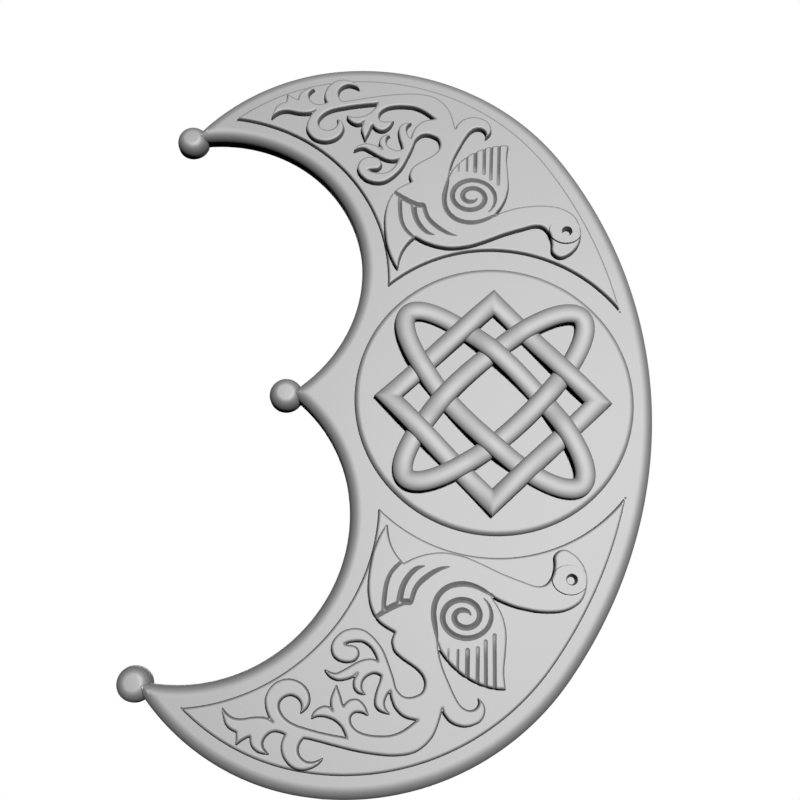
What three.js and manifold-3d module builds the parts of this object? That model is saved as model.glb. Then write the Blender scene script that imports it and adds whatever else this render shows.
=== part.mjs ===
// Carved crescent onlay: a flat-backed crescent with a woven knot on a round medallion, a bird in
// leafy vines on each horn, and a ball at each horn tip and at the inner cusp. It is one carved piece.
// Lengths are millimetres. The piece is laid out flat, x to the right, y up and z out of the flat
// back, with its origin on the back behind the medallion. The last lines stand it upright.
import * as THREE from 'three';
import { mergeVertices } from 'three/addons/utils/BufferGeometryUtils.js';
import Module from 'manifold-3d';

const wasm = await Module();
wasm.setup();

// The plate and its rim
const plateThickness = 8.3;
const edgeRound = 4.5;
const discRadius = 55.2;
const discRise = 2.0;
const discRound = 2.0;
const rimWidth = 8.1;

// The outer edge is three arcs that run smoothly into each other, the same above and below.
const rightArcRadius = 185.6;
const rightArcEnd = 35.5;
const shoulderRadius = 103.4;
const shoulderEnd = 98;
const hornRadius = 91.5;
const hornEnd = 150;

// The two bays that leave the crescent, one above the other, and the cusp between them
const bayRadius = 62.5;
const bayX = -117.3;
const bayY = 51.2;

// The balls sit half sunk in the edge, level with the flat back, and are cut flat on top. A tip
// ball's centre lies a little in from the bay and past the outer edge, the middle one's out from
// the cusp.
const ballRadius = 6.7;
const ballRise = 1.9;
const ballFlat = 2.8;
const tipFromBay = 1.6;
const tipPastEdge = 0.4;
const cuspOverhang = 1.5;

// The raised panel on each horn, with sloping sides
const panelRise = 2.0;
const panelInset = 8.5;
const panelGap = 8.5;
const panelBayInset = 13.4;
const panelBayShift = { x: -2.2, y: -4.7 };

// The carving on the panels, its sloping sides and its grooves
const carvingRise = 2.8;
const carvingSlope = 0.7;
const grooveDepth = 2.2;
const headRise = 0.9;
const head = { x: 28.7, y: 71.3, long: 6.6, short: 5.5 };
const eye = { x: 29.4, y: 71.2, radius: 2.05, floor: 1.85, depth: 3.6 };

// The woven knot: a square set on its corner, and two long loops along the diagonals
const knot = { x: -0.7, y: -2.0 };
const strandHalf = 3.9;
const strandHeight = 2.3;
const strandCrown = 1.8;
const weaveRise = 1.0;
const squareReach = 41.1;
const loopLength = 48.2;
const loopWidth = 14.2;
const fallingShift = { x: 0, y: 1.0 };
const risingShift = { x: 1.1, y: 1.7 };

// How finely the curves are faceted: degrees for each step of an arc, or sides for a whole round
const rightArcStep = 3.6;
const hornStep = 6.5;
const baySides = 64;
const discSides = 56;
const panelSides = 52;
const ballSides = 20;
const ballSteps = 4;
const edgeSteps = 3;
const discEdgeSteps = 2;
const loopSteps = 28;
const squareSteps = 16;
const strandRound = 4;
const headSides = 18;
const smallSides = 10;
const barSteps = 1.5;
const outlineSteps = 1.3;

// Solids that are joined or cut go this far into each other, or past what they cut
const overlap = 0.5;
const above = 1;
const wellInside = 3;
const thinnest = 0.04;

const degrees = Math.PI / 180;
const rimLevel = plateThickness;
const panelLevel = rimLevel + panelRise;
const discLevel = rimLevel + discRise;
const carvingLevel = panelLevel + carvingRise;

// A closed three.js geometry becomes a solid that can be joined and cut.
function solid(geometry) {
  const bare = geometry.clone();
  bare.deleteAttribute('normal');
  bare.deleteAttribute('uv');
  const merged = mergeVertices(bare, 1e-4);
  const vertProperties = merged.attributes.position.array;
  const triVerts = new Uint32Array(merged.index.array);
  return new wasm.Manifold(new wasm.Mesh({ numProp: 3, vertProperties, triVerts }));
}

// Joined solids become one, and their faces that lie in one plane become one face.
const joined = (solids) => solids.reduce((all, next) => all.add(next)).asOriginal();

// Points along an arc, angles in degrees, one step for about every stepAngle degrees
function arc(centre, radius, from, to, stepAngle) {
  const steps = Math.ceil(Math.abs(to - from) / stepAngle);
  return Array.from({ length: steps + 1 }, (_, i) => {
    const angle = (from + (to - from) * i / steps) * degrees;
    return new THREE.Vector2(centre.x + radius * Math.cos(angle), centre.y + radius * Math.sin(angle));
  });
}

// The centre of an arc that carries on smoothly from the arc before it
function nextCentre(centre, radius, angle, nextRadius) {
  const shift = radius - nextRadius;
  const x = centre.x + shift * Math.cos(angle * degrees);
  return { x, y: centre.y + shift * Math.sin(angle * degrees) };
}

// Where two circles meet, the crossing on the left of the way from the first to the second
function meeting(first, firstRadius, second, secondRadius) {
  const apart = Math.hypot(second.x - first.x, second.y - first.y);
  const along = (apart ** 2 + firstRadius ** 2 - secondRadius ** 2) / (2 * apart);
  const aside = Math.sqrt(firstRadius ** 2 - along ** 2);
  const [dx, dy] = [(second.x - first.x) / apart, (second.y - first.y) / apart];
  return { x: first.x + along * dx - aside * dy, y: first.y + along * dy + aside * dx };
}

const rightCentre = { x: discRadius + rimWidth - rightArcRadius, y: 0 };
const shoulderCentre = nextCentre(rightCentre, rightArcRadius, rightArcEnd, shoulderRadius);
const hornCentre = nextCentre(shoulderCentre, shoulderRadius, shoulderEnd, hornRadius);

const upperBay = { x: bayX, y: bayY };
const tipBall = meeting(upperBay, bayRadius + tipFromBay, hornCentre, hornRadius + tipPastEdge);
const middleBall = { x: bayX + Math.sqrt(bayRadius ** 2 - bayY ** 2) - cuspOverhang, y: 0 };
const panelBay = { x: bayX + panelBayShift.x, y: bayY + panelBayShift.y };
const panelBayRadius = bayRadius + panelBayInset;

// The whole outer edge, moved inwards by inset. Its left side is straight and lies in the bays.
function outerEdge(inset) {
  const upper = [
    ...arc(rightCentre, rightArcRadius - inset, 0, rightArcEnd, rightArcStep),
    ...arc(shoulderCentre, shoulderRadius - inset, rightArcEnd, shoulderEnd, hornStep).slice(1),
    ...arc(hornCentre, hornRadius - inset, shoulderEnd, hornEnd, hornStep).slice(1),
  ];
  const lower = upper.slice(1).reverse().map((p) => new THREE.Vector2(p.x, -p.y));
  return [...upper, ...lower];
}

// A closed outline extruded from bottom to top. Its upper edge is eased: run is how far the easing
// goes in from the outline, drop how far it goes down, and steps of 1 make a slope, more a round.
function slab(points, bottom, top, { run, drop, steps, outwards = 0 }) {
  const geometry = new THREE.ExtrudeGeometry(new THREE.Shape(points), {
    depth: top - bottom - 2 * drop,
    bevelThickness: drop,
    bevelSize: run,
    bevelOffset: outwards - run,
    bevelSegments: steps,
  });
  return solid(geometry.translate(0, 0, bottom + drop));
}

// A round body turned about a line through place, from a profile of [radius, height] pairs
function turned(profile, place, sides) {
  const points = profile.map(([radius, height]) => new THREE.Vector2(radius, height));
  const geometry = new THREE.LatheGeometry(points, sides);
  return solid(geometry.rotateX(Math.PI / 2).translate(place.x, place.y, 0));
}

// A quarter round for a turned profile, about [radius, height], angles from the flat upwards
function quarter(centreRadius, centreHeight, radius, from, to, steps) {
  return Array.from({ length: steps + 1 }, (_, i) => {
    const angle = (from + (to - from) * i / steps) * degrees;
    return [centreRadius + radius * Math.cos(angle), centreHeight + radius * Math.sin(angle)];
  });
}

// What is cut away for a bay: a round hole whose upper edge leaves the rim rounded
function bay(side) {
  const flare = quarter(bayRadius + edgeRound, plateThickness - edgeRound, edgeRound, 180, 90, edgeSteps);
  const top = plateThickness + wellInside;
  const profile = [[0, -wellInside], [bayRadius, -wellInside], ...flare];
  const rim = [[bayRadius + edgeRound, top], [0, top]];
  return turned([...profile, ...rim], { x: bayX, y: side * bayY }, baySides);
}

function plate() {
  const below = edgeRound + wellInside;
  const easing = { run: edgeRound, drop: edgeRound, steps: edgeSteps };
  const blank = slab(outerEdge(0), -below, plateThickness, easing);
  const wide = 2 * rightArcRadius;
  const underside = new THREE.BoxGeometry(wide, wide, 2 * below).translate(0, 0, -below);
  return blank.subtract(solid(underside)).subtract(bay(1)).subtract(bay(-1));
}

function ball(place) {
  const flatAngle = Math.acos(ballFlat / ballRadius) / degrees;
  const dome = quarter(0, ballRise, ballRadius, 0, flatAngle, ballSteps);
  const top = ballRise + Math.sqrt(ballRadius ** 2 - ballFlat ** 2);
  return turned([[0, 0], [ballRadius, 0], ...dome, [0, top]], place, ballSides);
}

function disc() {
  const edge = quarter(discRadius - discRound, discLevel - discRound, discRound, 0, 90, discEdgeSteps);
  const foot = rimLevel - wellInside;
  return turned([[0, foot], [discRadius, foot], ...edge, [0, discLevel]], { x: 0, y: 0 }, discSides);
}

// The raised panels are what is left of the plate's own outline, set in, outside the bays and disc.
function panels() {
  const half = carvingSlope / 2;
  const easing = { run: carvingSlope, drop: panelRise, steps: 1, outwards: half };
  const bottom = rimLevel - panelRise - above;
  const field = slab(outerEdge(panelInset), bottom, panelLevel, easing);
  const cut = (radius, place) => {
    const top = panelLevel + above;
    const foot = bottom - above;
    const slope = carvingSlope / panelRise;
    const low = radius - half - slope * (rimLevel - foot);
    const high = radius + half + slope * above;
    return turned([[0, foot], [low, foot], [high, top], [0, top]], place, panelSides);
  };
  return field
    .subtract(cut(discRadius + panelGap, { x: 0, y: 0 }))
    .subtract(cut(panelBayRadius, panelBay))
    .subtract(cut(panelBayRadius, { x: panelBay.x, y: -panelBay.y }));
}

// A smooth curve through [x, y, half width] points, the lower horn's being the upper's mirrored
function spineThrough(points, side) {
  const vectors = points.map(([x, y, half = 0]) => new THREE.Vector3(x, side * y, half));
  return new THREE.CatmullRomCurve3(vectors, false, 'centripetal');
}

// A bar bent along a spine. Its half width is the spine's, changed by below at its foot and by
// crest at its top, so that its sides slope.
function barAlong(points, side, bottom, top, below, crest) {
  const spine = spineThrough(points, side);
  const steps = Math.round(barSteps * (points.length - 1));
  const bar = new THREE.BoxGeometry(2, 1, 1, 1, steps, 1);
  const place = bar.attributes.position;
  for (let i = 0; i < place.count; i += 1) {
    const along = place.getY(i) + 0.5;
    const isTop = place.getZ(i) > 0;
    const centre = spine.getPoint(along);
    const heading = spine.getTangent(along);
    const length = Math.hypot(heading.x, heading.y);
    const half = Math.max(isTop ? crest(centre.z) : below(centre.z), thinnest);
    const reach = place.getX(i) * half / length;
    place.setXYZ(i, centre.x + heading.y * reach, centre.y - heading.x * reach, isTop ? top : bottom);
  }
  return solid(bar);
}

// A stem or leaf, raised from the panel, with sloping sides
function leaf(points, side) {
  const foot = panelLevel - overlap;
  const steepness = carvingSlope / carvingRise;
  const below = (half) => half + carvingSlope / 2 + overlap * steepness;
  const crest = (half) => half - carvingSlope / 2;
  return barAlong(points, side, foot, carvingLevel, below, crest);
}

// What a carver's groove takes away: wide at the surface, narrow at its floor
function groove(points, side) {
  const floorShare = 0.15;
  const spread = 1 + above * (1 - floorShare) / grooveDepth;
  const bottom = carvingLevel - grooveDepth;
  return barAlong(points, side, bottom, carvingLevel + above,
    (half) => half * floorShare, (half) => half * spread);
}

// The bird's outline in runs of [x, y] that meet at its corners: wing, neck and head, tail, back
const birdRuns = [
  [[-20, 96], [-17.4, 100.4], [-11.4, 106], [-5, 109.6], [1.4, 111.3], [5.2, 111.6]],
  [[5.2, 111.6], [4.8, 105], [5.5, 96], [5.2, 88], [3, 82], [-0.5, 77.6]],
  [[-0.5, 77.6], [5, 80], [12, 82.1], [21, 83.2], [27, 82.6], [32.4, 79.4], [35.3, 72], [34, 65.6],
    [29.6, 60.8], [26.6, 59.7], [24, 61.6], [23.5, 65.4], [22.2, 70.2], [19, 73.6], [10, 71.8],
    [2, 69], [-6, 65.5], [-14, 63], [-22, 62.8], [-28, 64.2], [-33.4, 67]],
  [[-33.4, 67], [-37.6, 61.8], [-39.6, 56.4], [-40.3, 52.3]],
  [[-40.3, 52.3], [-44, 61.2], [-46.1, 71], [-45.8, 80], [-43.2, 87], [-39.8, 90.6], [-35.6, 92.7]],
  [[-35.6, 92.7], [-36.5, 96], [-34, 100], [-27.4, 104.6], [-24.4, 109.4], [-25.6, 113.4]],
  [[-25.6, 113.4], [-13.4, 113.8]],
  [[-13.4, 113.8], [-16.8, 106.4], [-20, 96]],
];

// The stems and leaves, each a spine of [x, y, half width] from its root to its tip
const stems = {
  mainStem: [[-80, 127.2, 2.3], [-73, 128, 2.1], [-61, 130.5, 1.6], [-52, 132.3, 2.1], [-41, 132.8, 3.1],
    [-33, 132.1, 3.5], [-26.4, 129, 4.1], [-22.2, 123, 4.2], [-20.6, 112, 4.6]],
  farLeaf: [[-78, 127.4, 2.6], [-85, 127.6, 3], [-90.5, 127.4, 2], [-94.4, 125.9, 1.6], [-97, 121.8, 0]],
  lowTooth: [[-84, 127.5, 3], [-88, 129.9, 1.9], [-91.1, 134.3, 0]],
  highTooth: [[-81.5, 128.5, 3.2], [-84, 132.4, 2.1], [-82.9, 135.2, 1.3], [-79.4, 136.9, 0]],
  upperCurl: [[-69.8, 129, 3.8], [-71.7, 134.6, 3], [-69.8, 139, 2.3], [-65, 140.5, 1.2], [-59.9, 137.9, 0]],
  lowerCurl: [[-73.4, 128, 2.2], [-78.6, 122.4, 2.3], [-78.6, 117, 2.7], [-74, 113.8, 2.9],
    [-69.4, 115, 2.3], [-67.2, 118.8, 1.4], [-68.6, 122.5, 0]],
  sproutStem: [[-46, 131.5, 2.6], [-51, 128.2, 2], [-53.2, 122.5, 2.4]],
  sproutLeft: [[-51.6, 126.4, 2.6], [-55.4, 122.6, 2.2], [-60.4, 121.6, 1.8], [-64.5, 124.2, 0]],
  sproutMiddle: [[-53.2, 124.4, 2.2], [-55.4, 120, 2.1], [-56.1, 116, 1.5], [-56.2, 112.4, 0]],
  sproutRight: [[-53.2, 124.4, 2], [-51.4, 120.6, 2], [-48.8, 119.2, 2.1], [-44.4, 122.2, 0]],
  arm: [[-21, 117.4, 4.2], [-27.4, 119.4, 4], [-32.6, 117.9, 2.8], [-36.2, 112, 2.1], [-39.2, 105.4, 1.9],
    [-42.6, 98.8, 1.9], [-47.2, 94.4, 2.2], [-53, 94.8, 2.5], [-56.3, 97.6, 2.4], [-56.5, 101, 2.2]],
  curlNeck: [[-57.8, 100.4, 1.9], [-52.2, 101, 3.1]],
  leafHigh: [[-36.8, 109, 2.4], [-39.6, 114, 2.1], [-40.2, 118.4, 1.7], [-36.7, 121.6, 0]],
  leafMiddle: [[-39.6, 105.4, 2.2], [-44.6, 106.2, 2.3], [-48.4, 109.6, 1.9], [-48.2, 113.4, 1.1],
    [-45.9, 115.2, 0]],
  leafLow: [[-39.6, 105, 2], [-46, 104.9, 2.1], [-52.4, 108.2, 2], [-57, 109.3, 1.1], [-60.8, 107, 0]],
  hook: [[-19.4, 108.6, 4.4], [-15.8, 117, 2.9], [-10, 122.2, 2.9], [-5, 121, 2.2], [-3.5, 117.8, 1],
    [-4.7, 115.2, 0]],
};
const curlEnd = { x: -52, y: 100.9, radius: 3.2 };

// The carver's grooves, each a spine of [x, y, half width]: round the wing, its spiral, its
// feathers, and the bands of the tail
const grooves = {
  wingEdge: [[-20, 97, 1.1], [-22.2, 84.6, 1.1], [-19, 76.6, 1.1], [-12, 74, 1.1], [-4.2, 75.1, 1.1],
    [1.4, 79.4, 1.2]],
  spiral: [[-7.6, 85.8, 0.2], [-10.5, 83.8, 1], [-14, 86.6, 1.2], [-9.4, 90.4, 1.3], [-4.2, 85.8, 1.3],
    [-11.4, 79.6, 1.3], [-18.4, 86.6, 1.3], [-9.2, 93.7, 1.3], [-0.7, 86.4, 1], [-3.8, 79.8, 0.1]],
  featherOne: [[-15.9, 97.4, 0], [-15.9, 103.5, 0.5]],
  featherTwo: [[-12.4, 97.4, 0], [-12.4, 106.4, 0.7]],
  featherThree: [[-9, 97, 0], [-9, 109, 1]],
  featherFour: [[-5.2, 96, 0], [-5.2, 111, 0.9]],
  featherFive: [[-2.2, 93.8, 0], [-1.4, 112.4, 0.9]],
  featherSix: [[1.1, 91.4, 0], [1.4, 113, 0.8]],
  tailBar: [[-44, 88.4, 1.2], [-39, 85, 1.1], [-33.4, 82, 1.1], [-28.6, 82.6, 0.9]],
  tailOne: [[-40.4, 85.4, 1], [-40.2, 79, 1], [-37.9, 71.6, 1], [-34, 65.8, 1]],
  tailTwo: [[-34.8, 82.4, 1.2], [-34, 77, 1.2], [-30.8, 71, 1.1], [-25, 67.4, 0]],
  tailThree: [[-29.8, 82.4, 1.1], [-29.2, 77, 1.2], [-24.4, 71.2, 1], [-15.4, 67.4, 0]],
};

function birdOutline(side) {
  return birdRuns.flatMap((run) => {
    const spine = spineThrough(run, side);
    const steps = run.length > 2 ? Math.round(outlineSteps * (run.length - 1)) : 1;
    return spine.getPoints(steps).slice(1).map((p) => new THREE.Vector2(p.x, p.y));
  });
}

// An upright round pin or pit, wider above or below, stretched to long by short
function pin(place, lower, upper, bottom, top, sides) {
  const geometry = new THREE.CylinderGeometry(upper, lower, top - bottom, sides);
  return geometry.rotateX(Math.PI / 2).translate(0, 0, (top + bottom) / 2).scale(1, place.flat || 1, 1)
    .translate(place.x, place.y, 0);
}

function carving(side) {
  const easing = { run: carvingSlope, drop: carvingRise, steps: 1, outwards: carvingSlope / 2 };
  const foot = panelLevel - carvingRise - overlap;
  const bird = slab(birdOutline(side), foot, carvingLevel, easing);
  const leaves = Object.values(stems).map((points) => leaf(points, side));
  const end = { x: curlEnd.x, y: side * curlEnd.y };
  const knobHalf = carvingSlope / 2;
  const knob = pin(end, curlEnd.radius + knobHalf, curlEnd.radius - knobHalf, panelLevel, carvingLevel, smallSides);
  const figure = joined([bird, ...leaves, solid(knob)]);
  const carved = Object.values(grooves).reduce((body, points) => body.subtract(groove(points, side)), figure);
  const crown = { x: head.x, y: side * head.y, flat: head.short / head.long };
  const cap = pin(crown, head.long, head.long, panelLevel, carvingLevel + headRise, headSides);
  const opening = eye.radius + above * (eye.radius - eye.floor) / eye.depth;
  const pitTop = carvingLevel + headRise;
  const pit = pin({ x: eye.x, y: side * eye.y }, eye.floor, opening, pitTop - eye.depth, pitTop + above, smallSides);
  return joined([carved, solid(cap)]).subtract(solid(pit));
}

// A strand's section, [across, up] from its middle: a low round above straight sides
const strandFoot = strandHeight + discRise + above;
const strandSection = [
  ...Array.from({ length: strandRound + 1 }, (_, i) => {
    const angle = Math.PI * i / strandRound;
    return [strandHalf * Math.cos(angle), strandCrown * Math.sin(angle)];
  }),
  [-strandHalf, -strandFoot],
  [strandHalf, -strandFoot],
];

// A closed strand. route(turn, across) gives its place for a turn from 0 to 1, and lift its weave.
function strand(route, lift, steps) {
  const sides = strandSection.length;
  const ring = new THREE.TorusGeometry(2, 1, sides, steps);
  const place = ring.attributes.position;
  const level = discLevel + strandHeight;
  for (let i = 0; i < place.count; i += 1) {
    const turn = (1 - (i % (steps + 1)) / steps) % 1;
    const [across, up] = strandSection[Math.floor(i / (steps + 1)) % sides];
    const spot = route(turn, across);
    const rise = up === -strandFoot ? up : up + weaveRise * lift(turn);
    place.setXYZ(i, knot.x + spot.x, knot.y + spot.y, level + rise);
  }
  return solid(ring);
}

// The square on its corner, going round from the left corner over the top
function squareStrand() {
  const corners = [[-1, 0], [0, 1], [1, 0], [0, -1], [-1, 0]];
  const route = (turn, across) => {
    const reach = squareReach + Math.SQRT2 * across;
    const side = Math.min(Math.floor(turn * 4), 3);
    const share = turn * 4 - side;
    const [from, to] = [corners[side], corners[side + 1]];
    return { x: reach * (from[0] + (to[0] - from[0]) * share), y: reach * (from[1] + (to[1] - from[1]) * share) };
  };
  return strand(route, (turn) => -Math.sin(8 * Math.PI * turn), squareSteps);
}

// Where a long loop passes the square and the other loop, as angles of its own round
const squareCrossing = Math.acos(squareReach / Math.SQRT2 / loopLength);
const loopCrossing = Math.atan(loopLength / loopWidth);
const quarterCrossings = [squareCrossing, loopCrossing, Math.PI - loopCrossing, Math.PI - squareCrossing];
const crossings = [...quarterCrossings, ...quarterCrossings.map((angle) => angle + Math.PI)];

// Under at the first crossing and over at the next, all the way round, with a smooth wave between
function woven(turn) {
  const round = 2 * Math.PI;
  const angle = turn * round < crossings[0] ? turn * round + round : turn * round;
  const next = [...crossings, crossings[0] + round];
  const last = next.findIndex((crossing, i) => angle >= crossing && angle <= next[i + 1]);
  const share = (angle - next[last]) / (next[last + 1] - next[last]);
  return (last % 2 ? 1 : -1) * Math.cos(Math.PI * share);
}

// A long loop, an ellipse on a diagonal, hand 1 for the upper left to lower right and -1 for the
// other. Its middle is shifted a little from the square's.
function loopStrand(hand, shift) {
  const route = (turn, across) => {
    const angle = 2 * Math.PI * turn;
    const forward = -loopLength * Math.sin(angle);
    const sideways = loopWidth * Math.cos(angle);
    const length = Math.hypot(forward, sideways);
    const far = loopLength * Math.cos(angle) + across * hand * sideways / length;
    const near = loopWidth * Math.sin(angle) - across * hand * forward / length;
    return { x: shift.x + hand * (near - far) / Math.SQRT2, y: shift.y + (near + far) / Math.SQRT2 };
  };
  return strand(route, (turn) => hand * woven(turn), loopSteps);
}

function crescentOnlay() {
  const balls = [ball({ x: tipBall.x, y: -tipBall.y }), ball(tipBall), ball(middleBall)];
  const carvings = [carving(1), carving(-1)];
  const strands = [squareStrand(), loopStrand(1, fallingShift), loopStrand(-1, risingShift)];
  return joined([plate(), panels(), ...carvings, disc(), ...strands, ...balls]);
}

// A solid becomes a named mesh with flat faces.
function meshOf(body, name, material) {
  const { vertProperties, triVerts } = body.getMesh();
  const geometry = new THREE.BufferGeometry();
  geometry.setAttribute('position', new THREE.BufferAttribute(vertProperties, 3));
  geometry.setIndex(new THREE.BufferAttribute(triVerts, 1));
  geometry.computeVertexNormals();
  const mesh = new THREE.Mesh(geometry, material);
  mesh.name = name;
  return mesh;
}

const primedWood = new THREE.MeshStandardMaterial({ color: 0xc9c9c9, roughness: 0.85, metalness: 0 });
const onlay = meshOf(crescentOnlay(), 'crescent_onlay', primedWood);

// Standing upright, the carved face looks along -Y and the plate's y runs up.
onlay.rotation.x = Math.PI / 2;

const model = new THREE.Group();
model.add(onlay);
export default model;
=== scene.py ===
# %% [markdown]
# # A carved crescent onlay
# The piece is a flat-backed crescent, carved from one board and primed a matte light grey. A disc with
# a woven knot sits in its middle, a bird in leafy vines fills the panel on each horn, and a ball ends
# each horn and the inner cusp. It has no moving parts, so everything here is one surface.
#
# The plan has four steps. Distances to the drawn lines tell how high every spot of the face is. The
# lines where the height changes slope become the edges of the mesh, so that each carved edge is
# crisp. The knot's strands are profiles carried along closed paths. At the end all of it is joined.

# %% Load the frame
import math

import bpy
import numpy as np
from mathutils import Matrix, Vector
from mathutils.geometry import delaunay_2d_cdt


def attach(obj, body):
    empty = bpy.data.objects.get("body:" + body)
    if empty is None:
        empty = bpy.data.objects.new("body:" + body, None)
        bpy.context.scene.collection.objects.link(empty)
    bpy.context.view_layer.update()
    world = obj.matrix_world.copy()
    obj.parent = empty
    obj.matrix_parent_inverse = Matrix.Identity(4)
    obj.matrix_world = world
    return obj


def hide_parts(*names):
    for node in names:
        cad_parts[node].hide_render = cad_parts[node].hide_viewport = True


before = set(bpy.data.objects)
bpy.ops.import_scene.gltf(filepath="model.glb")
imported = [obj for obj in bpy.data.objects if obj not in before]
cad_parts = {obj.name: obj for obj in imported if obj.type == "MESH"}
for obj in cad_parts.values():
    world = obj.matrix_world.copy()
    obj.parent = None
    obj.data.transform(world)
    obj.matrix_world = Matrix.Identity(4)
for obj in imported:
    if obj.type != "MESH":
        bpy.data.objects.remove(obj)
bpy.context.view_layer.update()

# %% [markdown]
# ## The sizes
# Lengths are millimetres on the flat plate: x to the right, y up, z out of the back. Only the last
# step of each mesh turns the plate upright and goes over to metres.

# %% Sizes of the plate
PLATE = 8.3  # the thickness of the plate
EDGE_ROUND = 4.5  # the radius of its rounded rim
DISC_RADIUS = 55.2
DISC_RISE = 2.0
DISC_LEVEL = PLATE + DISC_RISE
RIM_WIDTH = 8.1  # between the disc and the outer edge, at the right
PANEL_INSET = 8.5  # between the outer edge and a panel
PANEL_GAP = 8.5  # between the disc and a panel

BAY = np.array([-117.3, 51.2])
BAY_RADIUS = 62.5
PANEL_BAY = BAY + [-2.2, -4.7]
PANEL_BAY_RADIUS = BAY_RADIUS + 13.4


def next_centre(centre, radius, degrees, next_radius):
    """An arc carries on smoothly when both centres lie on one line with the joint."""
    angle = math.radians(degrees)
    return centre + (radius - next_radius) * np.array([math.cos(angle), math.sin(angle)])


RIGHT_RADIUS, RIGHT_END = 185.6, 35.5
SHOULDER_RADIUS, SHOULDER_END = 103.4, 98.0
HORN_RADIUS = 91.5
RIGHT = np.array([DISC_RADIUS + RIM_WIDTH - RIGHT_RADIUS, 0.0])
SHOULDER = next_centre(RIGHT, RIGHT_RADIUS, RIGHT_END, SHOULDER_RADIUS)
HORN = next_centre(SHOULDER, SHOULDER_RADIUS, SHOULDER_END, HORN_RADIUS)
print("arc centres", RIGHT, SHOULDER, HORN)

# %% [markdown]
# ## How far is a spot from each line?
# A distance that is positive on one side of a line and negative on the other can make any outline:
# the smaller of two distances keeps what lies in both shapes. Both horns are the same, so the
# distances are worked out with y made positive.


# %% Distances to the plate's own lines
def from_centre(x, y, centre):
    """The straight distance from a centre, by Pythagoras."""
    return np.hypot(x - centre[0], y - centre[1])


def inside_outer_edge(x, y):
    """How far a spot lies inside the outer edge: the arc's radius less the distance from its
    centre, for whichever of the three arcs faces that spot."""
    y = np.abs(y)
    angle = np.degrees(np.arctan2(y - RIGHT[1], x - RIGHT[0]))
    shoulder_angle = np.degrees(np.arctan2(y - SHOULDER[1], x - SHOULDER[0]))
    right = RIGHT_RADIUS - from_centre(x, y, RIGHT)
    shoulder = SHOULDER_RADIUS - from_centre(x, y, SHOULDER)
    horn = HORN_RADIUS - from_centre(x, y, HORN)
    on_horn = (shoulder_angle > SHOULDER_END) | (shoulder_angle < -90.0)
    upper = np.where(on_horn, horn, shoulder)
    return np.where(angle < RIGHT_END, right, upper)


def inside_plate(x, y):
    """How far a spot lies inside the crescent: the least of the outer edge and the two bays."""
    bays = np.minimum(from_centre(x, np.abs(y), BAY), from_centre(x, -np.abs(y), BAY)) - BAY_RADIUS
    return np.minimum(inside_outer_edge(x, y), bays)


def outside_panel(x, y):
    """How far a spot lies outside the raised panel: the greatest of its three borders."""
    outer = PANEL_INSET - inside_outer_edge(x, y)
    bay = PANEL_BAY_RADIUS - from_centre(x, np.abs(y), PANEL_BAY)
    disc = DISC_RADIUS + PANEL_GAP - from_centre(x, y, (0.0, 0.0))
    return np.maximum(np.maximum(outer, bay), disc)


def outside_disc(x, y):
    """How far a spot lies outside the medallion's disc."""
    return from_centre(x, y, (0.0, 0.0)) - DISC_RADIUS


# %% [markdown]
# ## The drawing of bird and vine
# Bird and vine are one figure with one closed outline. It is drawn as runs of points, in the order
# that a knife would follow, and a smooth curve passes through each run. Where two runs meet there is
# a corner: a leaf's tip, or a notch between two leaves.

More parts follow.
